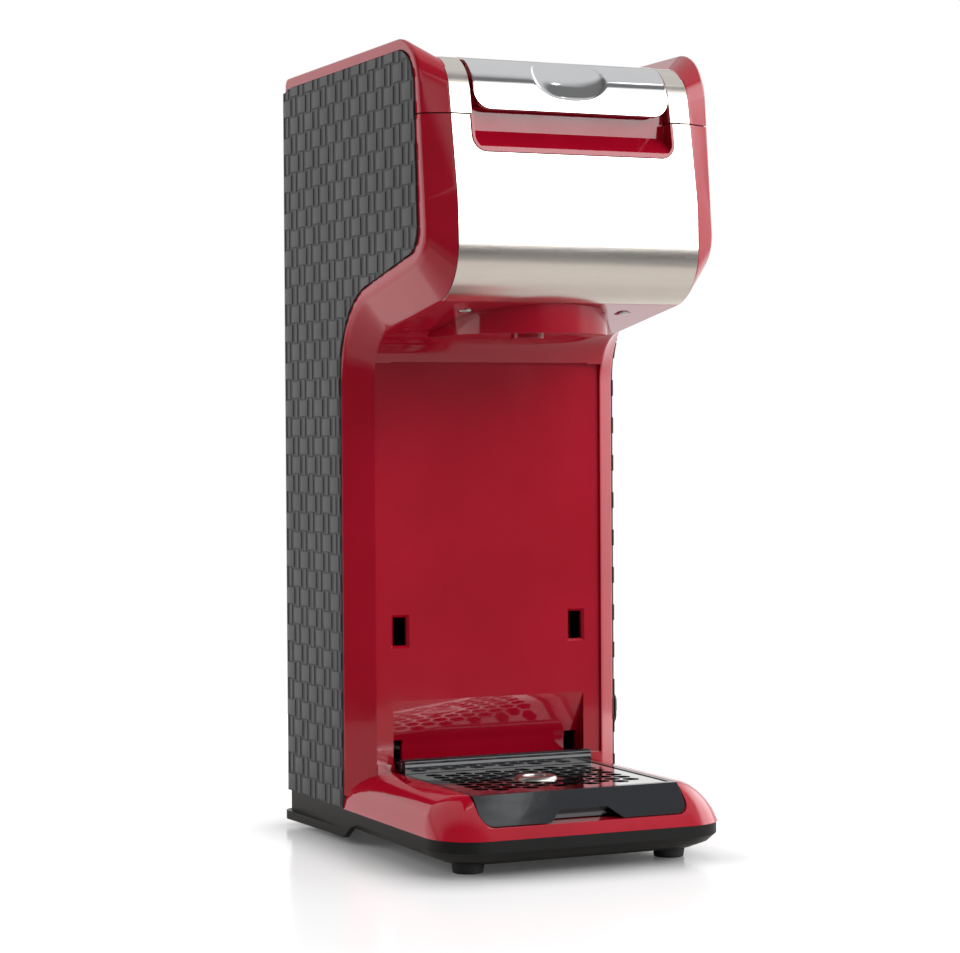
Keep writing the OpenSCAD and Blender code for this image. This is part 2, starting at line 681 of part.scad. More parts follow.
latch_x = 34;
latch_half = 5;
latch_y = deck_front + 2.2;
module top_deck() color("#2a2b2f") in_frame() {
    difference() {
        union() {
            translate([-side_in + fit_gap, deck_front, deck_z - deck_t])
                cube([2 * (side_in - fit_gap), cover_y + wall - deck_front, deck_t]);
            // hinge ears
            both_sides() {
                translate([ear_x + 0.4, axis_y - ear_r, deck_z - eps]) cube([side_in - fit_gap - ear_x - 0.4, 2 * ear_r, axis_z - deck_z]);
                translate([0, axis_y, axis_z]) rod_x(ear_x + 0.4, side_in - fit_gap, ear_r);
            }
            translate([riser_x, riser_y, deck_z - deck_t - 6]) cylinder(r = dock_r + 1.5, h = 7);
        }
        translate([0, pod_y, deck_z - 10]) cylinder(r = holder_r + fit_gap, h = 20, $fn = 64);
        translate([-tank_w / 2 + tank_t, tank_front + tank_t, deck_z - 10])
            cube([tank_w - 2 * tank_t, tank_back - tank_front - 2 * tank_t, 20]);
        both_sides() translate([latch_x - latch_half - 0.6, latch_y - 1.2, deck_z - 10])
            cube([2 * latch_half + 1.2, 4, 20]);
        both_sides() translate([0, axis_y, axis_z]) rod_x(ear_x, side_in + 1, pin_r + 0.02);
        translate([riser_x, riser_y, deck_z - 20]) cylinder(r = hose_r + 0.02, h = 30);
        translate([riser_x, riser_y, deck_z - 1.5]) cylinder(r = dock_r, h = 30);
    }
}
module hinge_pins() color("silver") in_frame() both_sides() translate([0, axis_y, axis_z])
    rod_x(side_in - fit_gap - 0.2 - pin_in, side_in - fit_gap - 0.2, pin_r);

module water_tank() color("#9aa7b2", 0.6) in_frame() difference() {
    union() {
        translate([-tank_w / 2, tank_front, tank_z]) cube([tank_w, tank_back - tank_front, tank_h]);
        translate([-riser_x, outlet_y, nozzle_z]) cylinder(r = hose_r + 1.5, h = 5);
    }
    translate([-tank_w / 2 + tank_t, tank_front + tank_t, tank_z + tank_t])
        cube([tank_w - 2 * tank_t, tank_back - tank_front - 2 * tank_t, tank_h]);
    translate([-riser_x, outlet_y, tank_z - 5]) cylinder(r = hose_r - 1, h = 20);
}

module heater() color("gainsboro") in_frame() translate([0, heater_y, heater_z]) {
    rotate_extrude(angle = 180) translate([heater_r, 0]) circle(r = heater_tube);
    rotate_extrude(angle = 180) translate([heater_r, heater_tube + 3]) circle(r = 4);
    both_sides() translate([heater_r, 0, 0]) rod_y(leg_end - heater_y, 0, heater_tube);
    both_sides() translate([heater_r, 0, heater_tube + 3]) rod_y(-10, 0, 4);
}
module thermostat() color("white") in_frame()
    translate([0, heater_y + heater_r, heater_z + heater_tube + 7 + 0.2]) cylinder(r = 7, h = 6);

// Quarter bend from a hose that ends straight below it to one that goes on towards +Y.
module bend_up() translate([0, elbow_r, 0]) rotate([90, 0, -90])
    rotate_extrude(angle = 90) translate([elbow_r, 0]) circle(r = hose_r);
module hose_piece(x, z0, z1) translate([x, riser_y, z0]) cylinder(r = hose_r, h = z1 - z0);
nozzle_z = tank_z - 4;
offset_z = nozzle_z - 2 * elbow_r - 1;
module cold_hose() color("#d8d2c8") in_frame() {
    hose_piece(-riser_x, heater_z + elbow_r, valve_z - 0.05);
    translate([-riser_x, riser_y, heater_z + elbow_r]) mirror([0, 0, 1]) bend_up();
    hose_piece(-riser_x, valve_z + valve_h + 0.05, offset_z);
    translate([-riser_x, riser_y, offset_z]) bend_up();
    translate([-riser_x, outlet_y, offset_z + 2 * elbow_r]) rotate([180, 0, 0]) bend_up();
    translate([-riser_x, outlet_y, offset_z + 2 * elbow_r]) cylinder(r = hose_r, h = 0.95);
}
module check_valve() color("ivory") in_frame() translate([-riser_x, riser_y, valve_z]) {
    cylinder(r = valve_r - 1.5, h = valve_h);
    translate([0, 0, 4]) cylinder(r = valve_r, h = valve_h - 8);
}
module hot_hose() color("#d8d2c8") in_frame() {
    hose_piece(riser_x, heater_z + elbow_r, deck_z - 1.5);
    translate([riser_x, riser_y, heater_z + elbow_r]) mirror([0, 0, 1]) bend_up();
}
module dock_seal() color("#c8502e") in_frame() translate([riser_x, riser_y, deck_z - 1.5]) difference() {
    cylinder(r = dock_r - 0.05, h = liner_z - deck_z + 1.5 - fit_gap);
    translate([0, 0, -1]) cylinder(r = 2.5, h = 10);
}

module control_board() color("darkgreen") in_frame() {
    translate([board_x, board_y, seam_z + 4 + fit_gap]) cube([board_t, 32, 58]);
    translate([board_x - 14, board_y + 16, seam_z + 34]) cube([14, 16, 16]);
    translate([board_x - 9, board_y + 2, seam_z + 40]) cube([9, 12, 12]);
}
module power_switch() color("#303236") in_frame() translate([board_x + board_t, button_y, button_z]) {
    translate([0, -4.5, -6]) cube([3.4, 14, 12]);
    rod_x(3.4, 4.4, 1.75);
}
module button_bezel() color("#3a3b3e") in_frame() translate([half_w + panel_proud, button_y, button_z])
    rotate([90, 0, 90]) linear_extrude(0.5) difference() {
        pad(button_l + 3.4, button_w + 3.4, button_r + 1.7);
        pad(button_l + 2 * slide_gap, button_w + 2 * slide_gap, button_r + slide_gap);
    }
module power_button() color("#2c2d30") in_frame() translate([0, button_y, button_z]) {
    rotate([90, 0, 90]) {
        translate([0, 0, side_in - 1.8]) linear_extrude(button_out - side_in + 1.8) pad(button_l, button_w, button_r);
        translate([0, 0, side_in - 1.8]) linear_extrude(1.4) pad(button_l, button_w + 4, button_r);
    }
}

handle_end = 36;
// Centre of the brow's rounding under the handle, and how far round it the scoop sits
brow_y = front_top_y + (top_z - split_z) * front_tan - handle_proud
    + brow_r * tan(45 - atan(front_tan) / 2);
scoop_at = 32;
// Outline that the handle follows, set forward from the lid's front, and the lid behind it.
module handle_path_2d() translate([-handle_proud, 0]) head_2d();
module lid_core_2d() intersection() {
    offset(delta = -handle_t) handle_path_2d();
    yz_box(pocket_y, split_z - 5, body_d + 5, top_z + 5);
}
handle_z = split_z + handle_lift;
recess_half = handle_w / 2 + 0.7;
lip_h = 3.6;
lip_t = 0.8;
module lid_shell() color("crimson") in_frame() difference() {
    intersection() {
        machine_solid();
        lid_space(split_z + seam / 2, seam, lid_side);
    }
    // inside of the lid
    across(-lid_side + wall, lid_side - wall) intersection() {
        offset(delta = -wall - sheet_t) head_2d();
        offset(delta = -wall) lid_core_2d();
        yz_box(0, split_z - 1, body_d, top_z);
    }
    // seat of the steel sheet and recess of the handle
    across(-rib_x, rib_x) intersection() {
        sheet_2d(sheet_t + 0.1);
        yz_box(0, split_z, axis_y - 10, top_z + 1);
    }
    across(-recess_half, recess_half) {
        difference() {
            yz_box(0, split_z, handle_end + 0.5, top_z + 5);
            lid_core_2d();
        }
        yz_box(pocket_y - 1, split_z, pocket_y + lip_t + slide_gap, split_z + lip_h + slide_gap);
    }
    // clearance of the hinge barrel and the hinge ears
    translate([0, axis_y, axis_z]) {
        rod_x(-lid_side - 1, lid_side + 1, barrel_r + fit_gap);
        both_sides() rod_x(ear_x, side_in + eps, ear_swing);
    }
    across(-lid_side - 1, lid_side + 1) yz_box(axis_y, split_z - 1, body_d + 1, axis_z);
}

module lid_trim() color("lightgray") in_frame() difference() {
    intersection() {
        across(-sheet_half, sheet_half) sheet_2d(sheet_t);
        across(-rib_x, rib_x) yz_box(0, split_z + seam / 2, axis_y - 10.2, top_z + 1);
    }
    across(-recess_half - 0.4, recess_half + 0.4) yz_box(0, split_z - 1, handle_end + 0.8, top_z + 5);
}

// Chrome handle: a plate that follows the lid's front and top.
// Barrel whose side bulges to the radius scoop_in and sinks by scoop_t over half the scoop's width.
scoop_in = 26;
scoop_bulge = pow(scoop_w / 2, 2) / (2 * scoop_t);
module scoop_barrel() rotate([0, 90, 0]) rotate_extrude() polygon(concat(
    [[0, scoop_w], [0, -scoop_w]],
    [for (i = [-10 : 10]) let (x = i / 10 * scoop_w)
        [scoop_in - scoop_bulge + sqrt(pow(scoop_bulge, 2) - x * x), x]]));
module handle() color("silver") in_frame() difference() {
    intersection() {
        across(-handle_w / 2, handle_w / 2) intersection() {
            difference() {
                handle_path_2d();
                offset(delta = 0.02 - handle_t) handle_path_2d();
            }
            yz_box(0, handle_z, handle_end, top_z + 5);
        }
        along_y(-5, 60) translate([0, handle_z + 30]) pad(handle_w, 60, 7);
    }
    translate([0, brow_y - (brow_r + scoop_in - scoop_t) * cos(scoop_at),
        top_z - brow_r + (brow_r + scoop_in - scoop_t) * sin(scoop_at)]) scoop_barrel();
}

module lid_liner() color("#2a2b2f") in_frame() {
    difference() {
        union() {
            translate([-lid_side + wall + fit_gap, pocket_y + wall + fit_gap, liner_z])
                cube([2 * (lid_side - wall - fit_gap), axis_y - pocket_y - wall - fit_gap, liner_t]);
            translate([0, axis_y, axis_z]) rod_x(-ear_x + 0.4, ear_x - 0.4, barrel_r);
            both_sides() translate([latch_x - latch_half, latch_y, deck_z - 5])
                cube([2 * latch_half, 2.2, liner_z - deck_z + 5 + eps]);
            translate([0, pod_y, liner_z]) cylinder(r = flange_r - 4, h = liner_t + 1);
            for (y = liner_screw_y) both_sides() translate([liner_screw_x, y, liner_z])
                cylinder(r = 4, h = top_z - handle_t - wall - liner_z);
        }
        both_sides() translate([0, axis_y, axis_z]) rod_x(ear_x - 10, ear_x + 5, pin_r + run_gap);
        both_sides() translate([0, axis_y, axis_z]) rod_x(ear_x - 0.4, ear_x + 10, ear_swing);
        translate([0, pod_y, liner_z - 1]) cylinder(r = 1.62, h = 10);
        translate([riser_x, riser_y, liner_z - 1]) cylinder(r = 2.5, h = 10);
        for (y = liner_screw_y) both_sides() translate([liner_screw_x, y, liner_z - 1])
            cylinder(r = screw_r, h = 14);
    }
}
module liner_screws() color("silver") in_frame() for (y = liner_screw_y) both_sides()
    translate([liner_screw_x, y, liner_z - head_t]) {
        cylinder(r = head_r, h = head_t);
        cylinder(r = screw_r - 0.1, h = 12);
    }
module upper_needle() color("silver") in_frame() translate([0, pod_y, 0]) {
    translate([0, 0, liner_z - 9]) difference() {
        cylinder(r = 1.6, h = 9 + liner_t + 1);
        translate([0, 0, 1]) cylinder(r = 0.7, h = 20);
    }
    translate([0, 0, liner_z - 13]) cylinder(r1 = 0.1, r2 = 1.6, h = 4);
}
module pod_seal() color("#c8502e") in_frame() translate([0, pod_y, holder_top + 0.35]) difference() {
    cylinder(r = 22, h = liner_z - holder_top - 0.35);
    translate([0, 0, -1]) cylinder(r = 17, h = 10);
}
// Duct from the docking seal to the needle, on top of the liner.
module water_channel() color("#303236") in_frame() {
    z = liner_z + liner_t + 1;
    difference() {
        union() {
            translate([0, pod_y, z]) cylinder(r = 6, h = 6);
            translate([-4, pod_y, z]) cube([8, riser_y - pod_y, 6]);
            translate([-4, riser_y - 4, z]) cube([riser_x + 4, 8, 6]);
            translate([riser_x, riser_y, liner_z + liner_t]) cylinder(r = 6, h = 7);
        }
        translate([0, pod_y, z - 1]) cylinder(r = 1.8, h = 4);
        translate([riser_x, riser_y, liner_z]) cylinder(r = 2.5, h = 6);
        translate([-2, pod_y, z + 2]) cube([4, riser_y - pod_y, 2.4]);
        translate([-2, riser_y - 2, z + 2]) cube([riser_x + 2, 4, 2.4]);
    }
}

notch_top = tray_z + 4.2;
module tray_front_2d(inset) polygon([[3.7 + inset + (tray_z - sill_z), tray_z - 1], [front_bevel + inset, rim_z + 0.5],
    [far, rim_z + 0.5], [far, tray_z - 1]]);
module drip_tray() color("#141519") in_frame() {
    difference() {
        intersection() {
            along_y(0, tray_back) bay_2d(tray_half, tray_z, tray_r, rim_z);
            across(-tray_half, tray_half) tray_front_2d(0);
        }
        // basin and the seat of the grille above it
        intersection() {
            along_y(0, bar_y - bar_r) bay_2d(tray_half - tray_wall - 1.4, tray_z + tray_wall, tray_r - 1, rim_z + 5);
            across(-tray_half, tray_half) yz_box(grille_front + 1.6, tray_z, body_d, rim_z + 5);
        }
        translate([-tray_half + tray_wall, grille_front, ledge_z])
            cube([2 * (tray_half - tray_wall), bar_y - bar_r - grille_front, 10]);
        // finger notch under the front
        along_y(-1, 14) polygon([[-15.4, tray_z - 1], [-15.4, tray_z], [-10.2, notch_top], [10.2, notch_top],
            [15.4, tray_z], [15.4, tray_z - 1]]);
    }
    // bar with two ridges, and the tabs that enter the column's slots
    intersection() {
        union() {
            translate([0, bar_y, bar_z]) rod_x(-42.2, 42.2, bar_r);
            translate([0, bar_y - 2.2, bar_z + 2.2]) rod_x(-42.2, 42.2, 1.1);
            across(-42.2, 42.2) yz_box(bar_y - bar_r, ledge_z, bar_y + bar_r, bar_z);
        }
        across(-50, 50) yz_box(0, tray_z, tray_back, far);
    }
    both_sides() translate([slot_x - slot_w / 2 + slide_gap, bar_y, tab_z])
        cube([slot_w - 2 * slide_gap, hollow_y + wall + 1 - bar_y, tab_t]);
}

grille_half = tray_half - tray_wall - fit_gap;
hex_r = (hex_pitch - hex_web) / sqrt(3);
hex_dx = hex_pitch * sqrt(3) / 2;
hex_cols = floor((grille_half - 3 - hex_r) / hex_dx);
hex_rows = floor(((grille_back - grille_front) / 2 - 3 - hex_r) / hex_pitch);
module drip_grille() color("silver") in_frame() translate([0, 0, ledge_z + eps]) linear_extrude(grille_t) difference() {
    translate([-grille_half, grille_front + fit_gap]) square([2 * grille_half, grille_back - grille_front - fit_gap]);
    for (i = [-hex_cols : hex_cols], j = [-hex_rows : hex_rows])
        if (norm([i * hex_dx, (j + abs(i % 2) / 2) * hex_pitch]) > disc_r + hex_r)
            translate([i * hex_dx, disc_y + (j + abs(i % 2) / 2) * hex_pitch]) circle(r = hex_r, $fn = 6);
}
module grille_disc() color("white") in_frame() translate([0, disc_y, ledge_z + grille_t + eps]) difference() {
    cylinder(r1 = disc_r, r2 = disc_r - 0.8, h = 1.2);
    translate([0, 0, 0.5]) cylinder(r = disc_r - 3.4, h = 2);
}

front_shell();
side_panel_left();
side_panel_right();
back_cover();
base_plate();
rubber_feet();
steel_front();
pocket_insert();
brew_shroud();
brew_spout();
pod_holder();
lower_needle();
top_deck();
water_tank();
heater();
thermostat();
check_valve();
cold_hose();
hot_hose();
dock_seal();
control_board();
power_switch();
button_bezel();
cord_gland();
base_screws();
back_screws();
head_screws();
hinge_pins();
lid_shell();
lid_trim();
handle();
lid_liner();
upper_needle();
pod_seal();
water_channel();
liner_screws();
drip_tray();
drip_grille();
grille_disc();
power_button();
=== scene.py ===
"""Looks of a single-serve pod coffee machine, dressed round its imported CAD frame.

Metres, +Z up, the front faces -Y. Every piece keeps the place of the CAD node it stands for.
"""
import json
import math

import bmesh
import bpy
import numpy as np
from mathutils import Matrix, Vector

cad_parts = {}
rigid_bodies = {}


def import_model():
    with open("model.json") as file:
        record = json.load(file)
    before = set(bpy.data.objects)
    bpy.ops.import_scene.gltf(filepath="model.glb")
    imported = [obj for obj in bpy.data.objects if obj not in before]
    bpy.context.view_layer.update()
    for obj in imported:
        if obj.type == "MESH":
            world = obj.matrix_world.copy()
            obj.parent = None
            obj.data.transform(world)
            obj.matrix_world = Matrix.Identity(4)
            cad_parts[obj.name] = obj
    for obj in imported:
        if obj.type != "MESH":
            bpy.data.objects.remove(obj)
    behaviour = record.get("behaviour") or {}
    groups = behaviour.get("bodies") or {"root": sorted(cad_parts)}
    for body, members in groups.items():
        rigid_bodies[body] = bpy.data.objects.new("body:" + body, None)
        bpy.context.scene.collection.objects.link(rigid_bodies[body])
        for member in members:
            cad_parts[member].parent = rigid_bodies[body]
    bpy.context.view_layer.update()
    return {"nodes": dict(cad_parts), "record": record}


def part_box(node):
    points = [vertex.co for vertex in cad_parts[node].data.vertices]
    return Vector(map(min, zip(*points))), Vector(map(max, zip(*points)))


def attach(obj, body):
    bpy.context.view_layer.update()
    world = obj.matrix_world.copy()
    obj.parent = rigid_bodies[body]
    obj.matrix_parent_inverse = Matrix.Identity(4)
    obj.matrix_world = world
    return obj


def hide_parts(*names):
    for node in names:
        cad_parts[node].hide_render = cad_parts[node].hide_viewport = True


MM = 0.001
# Corners of a CAD mesh that are nearer than this are one corner.
WELD = 0.004 * MM
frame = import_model()
record = frame["record"]
BODY = {node: body for body, nodes in record["behaviour"]["bodies"].items() for node in nodes}
SLOT = {row["node"]: row["material_slot"] for row in record["subparts"]}
# Distance in mm from the middle plane to the side panels' flat ground, which their weave stands on
PANEL_GROUND = 62.5


# Camera: a long lens a little over a metre away, level with the cup bay.
LENS, SENSOR_WIDTH = 98, 36
CAMERA_SPOT = Vector((-0.44897, -0.9768, 0.16974))
CAMERA_YAW, CAMERA_PITCH, CAMERA_ROLL = (math.radians(a) for a in (24.279, -1.0436, -0.3596))


def add_camera():
    data = bpy.data.cameras.new("camera")
    data.sensor_fit = "HORIZONTAL"
    data.sensor_width = SENSOR_WIDTH
    data.lens = LENS
    camera = bpy.data.objects.new("camera", data)
    bpy.context.scene.collection.objects.link(camera)
    ahead = Vector((math.sin(CAMERA_YAW) * math.cos(CAMERA_PITCH),
                    math.cos(CAMERA_YAW) * math.cos(CAMERA_PITCH), math.sin(CAMERA_PITCH)))
    right = Vector((math.cos(CAMERA_YAW), -math.sin(CAMERA_YAW), 0))
    up = right.cross(ahead)
    rolled_right = math.cos(CAMERA_ROLL) * right + math.sin(CAMERA_ROLL) * up
    rolled_up = math.cos(CAMERA_ROLL) * up - math.sin(CAMERA_ROLL) * right
    turn = Matrix((rolled_right, rolled_up, -ahead)).transposed()
    camera.matrix_world = Matrix.Translation(CAMERA_SPOT) @ turn.to_4x4()
    bpy.context.scene.camera = camera


# Shader trees
class Signal:
    """What a socket gives out. Sums and products of signals add the nodes that work them out."""

    def __init__(self, finish, socket):
        self.finish, self.socket = finish, socket

    def maths(self, operation, *values, **settings):
        settings["operation"] = operation
        return self.finish.add("ShaderNodeMath", settings, dict(enumerate(values)))

    def __add__(self, other):
        return self.maths("ADD", self, other)

    def __sub__(self, other):
        return self.maths("SUBTRACT", self, other)

    def __rsub__(self, other):
        return self.maths("SUBTRACT", other, self)

    def __mul__(self, other):
        return self.maths("MULTIPLY", self, other)

    def __pow__(self, other):
        return self.maths("POWER", self, other)

    def __abs__(self):
        return self.maths("ABSOLUTE", self)

    def at_least(self, other):
        return self.maths("MAXIMUM", self, other)

    def between(self, low, high, start=0.0, end=1.0):
        """From start to end, smoothly, as the signal goes from low to high."""
        return self.finish.add("ShaderNodeMapRange", {"interpolation_type": "SMOOTHSTEP"},
                               {0: self, 1: low, 2: high, 3: start, 4: end})


class Finish:
    """A material, its surface shader and the nodes that paint it."""

    def __init__(self, name, tree=None, **surface):
        self.tree = tree
        if tree is None:
            self.material = bpy.data.materials.new(name)
            self.material.use_nodes = True
            self.tree = self.material.node_tree
        self.tree.nodes.clear()
        if tree is None:
            self.surface = self.tree.nodes.new("ShaderNodeBsdfPrincipled")
            output = self.tree.nodes.new("ShaderNodeOutputMaterial")
            self.tree.links.new(self.surface.outputs[0], output.inputs[0])
            self.set(**surface)

    def feed(self, socket, value):
        if isinstance(value, Signal):
            self.tree.links.new(value.socket, socket)
        elif socket.type == "RGBA":
            socket.default_value = (*value, 1)
        else:
            socket.default_value = value

    def set(self, **surface):
        """Sockets of the surface shader, named in lower case with underscores."""
        for name, value in surface.items():
            label = name.replace("_", " ").title().replace("Ior", "IOR")
            self.feed(self.surface.inputs[label], value)
        return self

    def add(self, kind, settings=(), values=(), output=0):
        node = self.tree.nodes.new(kind)
        for name, value in dict(settings).items():
            setattr(node, name, value)
        for key, value in dict(values).items():
            self.feed(node.inputs[key], value)
        return Signal(self, node.outputs[output])

    def place(self, stretch=(1, 1, 1)):
        """Object coordinates, stretched along the axes."""
        spot = self.add("ShaderNodeTexCoord", output="Object")
        return self.add("ShaderNodeVectorMath", {"operation": "MULTIPLY"}, {0: spot, 1: stretch})

    def axis(self, letter):
        """One of the object coordinates X, Y and Z."""
        return self.add("ShaderNodeSeparateXYZ", values={0: self.place()}, output=letter)

    def noise(self, scale, detail, stretch=(1, 1, 1), roughness=0.5):
        return self.add("ShaderNodeTexNoise", values={
            "Vector": self.place(stretch), "Scale": scale, "Detail": detail, "Roughness": roughness})

    def rays(self, *kinds):
        """1 for rays of these kinds and 0 for the others."""
        path = [self.add("ShaderNodeLightPath", output=f"Is {kind} Ray") for kind in kinds]
        return path[0] if len(path) == 1 else path[0] + path[1]

    def mix(self, share, first, second):
        """The first colour, with this share of the second."""
        return self.add("ShaderNodeMix", {"data_type": "RGBA"}, {0: share, 6: first, 7: second}, 2)

    def relief(self, height, distance, strength):
        return self.add("ShaderNodeBump", values={
            "Height": height, "Distance": distance, "Strength": strength})


def gloss_red():
    """Crimson plastic, polished, with faint wipe marks."""
    f = Finish("gloss_red", coat_weight=0.25, coat_roughness=0.03, ior=1.5)
    cloud = f.noise(14, 3)
    wipe = f.noise(60, 4, (1, 1, 0.25))
    ripple = f.noise(120, 2)
    dark, light = (0.300, 0.0022, 0.013), (0.355, 0.0034, 0.018)
    return f.set(base_color=f.mix(cloud.between(0.3, 0.7), dark, light),
                 roughness=wipe.between(0.3, 0.75, 0.06, 0.12),
                 normal=f.relief(ripple, 0.05 * MM, 0.4))


def weave_grey():
    """Grey plastic with upright fibres, with painted shade in the grooves down at the panels' ground.
    """
    f = Finish("weave_grey", ior=1.36)
    fibre = f.noise(900, 3, (1, 1, 0.06))
    cloud = f.noise(18, 3)
    tone = fibre * 0.6 + cloud * 0.4
    face = f.mix(tone.between(0.3, 0.7), (0.058, 0.058, 0.060), (0.088, 0.087, 0.089))
    # Painted shade: the colour darkens to near black where the surface lies at the panels' ground, in
    # the grooves between blocks and strands.
    groove_shade = abs(f.axis("X")).between((PANEL_GROUND + 0.02) * MM, (PANEL_GROUND + 0.14) * MM, 1, 0)
    return f.set(base_color=f.mix(groove_shade, face, (0.040, 0.040, 0.041)),
                 roughness=fibre.between(0.2, 0.8, 0.5, 0.66),
                 normal=f.relief(fibre, 0.12 * MM, 0.6))


def moulded(name, dark, light, roughness, grain=0.05, ior=1.48):
    """Textured moulded plastic or rubber."""
    f = Finish(name, ior=ior)
    fine, cloud = f.noise(2600, 2), f.noise(30, 3)
    return f.set(base_color=f.mix(cloud.between(0.3, 0.7), dark, light),
                 roughness=fine.between(0.2, 0.8, roughness - 0.06, roughness + 0.06),
                 normal=f.relief(fine, grain * MM, 0.6))


def gloss_black():
    """Polished black plastic, wiped from side to side."""
    f = Finish("gloss_black", coat_weight=0.1, coat_roughness=0.03, ior=1.46)
    cloud, wipe = f.noise(20, 3), f.noise(70, 4, (0.3, 1, 1))
    return f.set(base_color=f.mix(cloud, (0.003, 0.004, 0.006), (0.006, 0.007, 0.011)),
                 roughness=wipe.between(0.3, 0.75, 0.07, 0.15),
                 normal=f.relief(f.noise(150, 2), 0.05 * MM, 0.4))


def brushed(name, dark, light, roughness, along=(0.03, 1, 1), depth=0.02):
    """Metal brushed in straight fine lines, along the axis with the small factor."""
    f = Finish(name, metallic=1.0)
    lines = f.noise(3200, 3, along, 0.7)
    bands = f.noise(300, 2, along)
    cloud = f.noise(16, 3)
    tone = lines * 0.45 + bands * 0.2 + cloud * 0.35
    return f.set(base_color=f.mix(tone.between(0.3, 0.7), dark, light),
                 roughness=tone.between(0.3, 0.7, roughness - 0.03, roughness + 0.04),
                 normal=f.relief(lines, depth * MM, 0.5))


def plated():
    """Bright plating with a trace of haze."""
    f = Finish("plated", metallic=1.0)
    haze = f.noise(40, 4)
    return f.set(base_color=f.mix(haze, (0.80, 0.81, 0.83), (0.90, 0.90, 0.91)),
                 roughness=haze.between(0.35, 0.8, 0.03, 0.09),
                 normal=f.relief(f.noise(90, 2), 0.03 * MM, 0.3))


def clear_smoke():
    """Smoky clear plastic, a little duller towards the top."""
    f = Finish("clear_smoke", transmission_weight=0.85, ior=1.46)
    cloud, height = f.noise(25, 3), f.axis("Z")
    return f.set(base_color=f.mix(cloud, (0.60, 0.64, 0.68), (0.72, 0.76, 0.80)),
                 roughness=cloud.between(0.3, 0.7, 0.06, 0.14) + height * 0.05)


def green_board():
    """Lacquered circuit board with a net of darker tracks."""
    f = Finish("green_board", coat_weight=0.4)
    tracks = f.add("ShaderNodeTexVoronoi", {"feature": "DISTANCE_TO_EDGE", "distance": "CHEBYCHEV"},
                   {"Vector": f.place(), "Scale": 260})
    line = tracks.between(0.03, 0.05)
    return f.set(base_color=f.mix(line, (0.05, 0.16, 0.07), (0.012, 0.07, 0.03)),
                 roughness=f.noise(80, 3).between(0.3, 0.7, 0.25, 0.4))


FINISHES = {
    "red_gloss": gloss_red(),
    "grey_weave": weave_grey(),
    "black_plastic": moulded("satin_black", (0.0025, 0.0025, 0.0025), (0.004, 0.004, 0.004), 0.36,
                             ior=1.32),
    "black_gloss": gloss_black(),
    "rubber": moulded("rubber", (0.008, 0.008, 0.008), (0.015, 0.015, 0.016), 0.72, 0.12),
    # Painted reflection: the steel's warm beige tint, on top of the metal's own colour, stands in for
    # a warm table reflected in it.
    "brushed_steel": brushed("brushed_steel", (0.79, 0.73, 0.67), (0.89, 0.84, 0.78), 0.22,
                             depth=0.01),
    "bright_steel": brushed("bright_steel", (0.34, 0.34, 0.35), (0.52, 0.52, 0.52), 0.2, (1, 0.2, 1)),
    "chrome": plated(),
    "tank_plastic": clear_smoke(),
    "aluminium": brushed("cast_aluminium", (0.52, 0.53, 0.54), (0.7, 0.7, 0.7), 0.36, (1, 1, 1),
                         0.06),
    "white_plastic": moulded("white_plastic", (0.62, 0.62, 0.60), (0.74, 0.74, 0.72), 0.35),
    "silicone": moulded("silicone", (0.52, 0.50, 0.46), (0.62, 0.60, 0.56), 0.4),
    "orange_rubber": moulded("orange_rubber", (0.50, 0.10, 0.03), (0.62, 0.14, 0.05), 0.5, 0.08),
    "board_green": green_board(),
}


# Meshes
def new_object(name, mesh):
    obj = bpy.data.objects.new(name, mesh)
    bpy.context.scene.collection.objects.link(obj)
    return obj


def as_piece(obj, node, finish=None):
    """obj takes the place of this CAD node, which is hidden, and moves with it. Its finish is the
    slot's, unless another one is given."""
    slot = SLOT[node]
    obj.data.materials.clear()
    obj.data.materials.append((finish or FINISHES[slot]).material)
    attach(obj, BODY[node])
    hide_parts(node)
    return obj


def worked_in(obj):
    """obj with what its modifiers make as its plain mesh."""
    made = bpy.data.meshes.new_from_object(obj.evaluated_get(bpy.context.evaluated_depsgraph_get()))
    made.name = obj.name
    obj.modifiers.clear()
    old, obj.data = obj.data, made
    bpy.data.meshes.remove(old)
    return obj


def modify(obj, kind, **settings):
    modifier = obj.modifiers.new(kind.lower(), kind)
    for name, value in settings.items():
        setattr(modifier, name, value)
    return obj


def mesh_of(bm, name):
    """The mesh that bm holds, under this name; bm is freed."""
    mesh = bpy.data.meshes.new(name)
    bm.to_mesh(mesh)
    bm.free()
    return mesh


SLIGHT_CREASE = math.radians(12)
LARGE_FACE = 600 * MM ** 2


def smooth(obj, angle=35):
    """Smooth shading that keeps edges over the angle crisp, flat faces flat, and even a slight
    crease between two large faces."""
    obj.data.shade_smooth()
    obj.data.set_sharp_from_angle(angle=math.radians(angle))
    bm = bmesh.new()
    bm.from_mesh(obj.data)
    for edge in bm.edges:
        if (edge.calc_face_angle(0) > SLIGHT_CREASE
                and min(face.calc_area() for face in edge.link_faces) > LARGE_FACE):
            edge.smooth = False
    bm.to_mesh(obj.data)
    bm.free()
    modify(obj, "WEIGHTED_NORMAL", keep_sharp=True, weight=80)
    return worked_in(obj)


def welded(node):
    """A CAD node's loose triangles as closed skins."""
    bm = bmesh.new()
    bm.from_mesh(frame["nodes"][node].data)
    bmesh.ops.remove_doubles(bm, verts=bm.verts, dist=WELD)
    return bm


def merged(node):
    """A CAD node's solids as closed skins with whole flat faces."""
    bm = welded(node)
    bmesh.ops.dissolve_limit(bm, angle_limit=math.radians(0.4), verts=bm.verts, edges=bm.edges)
    return bm


SHARP_EDGE = math.radians(32)


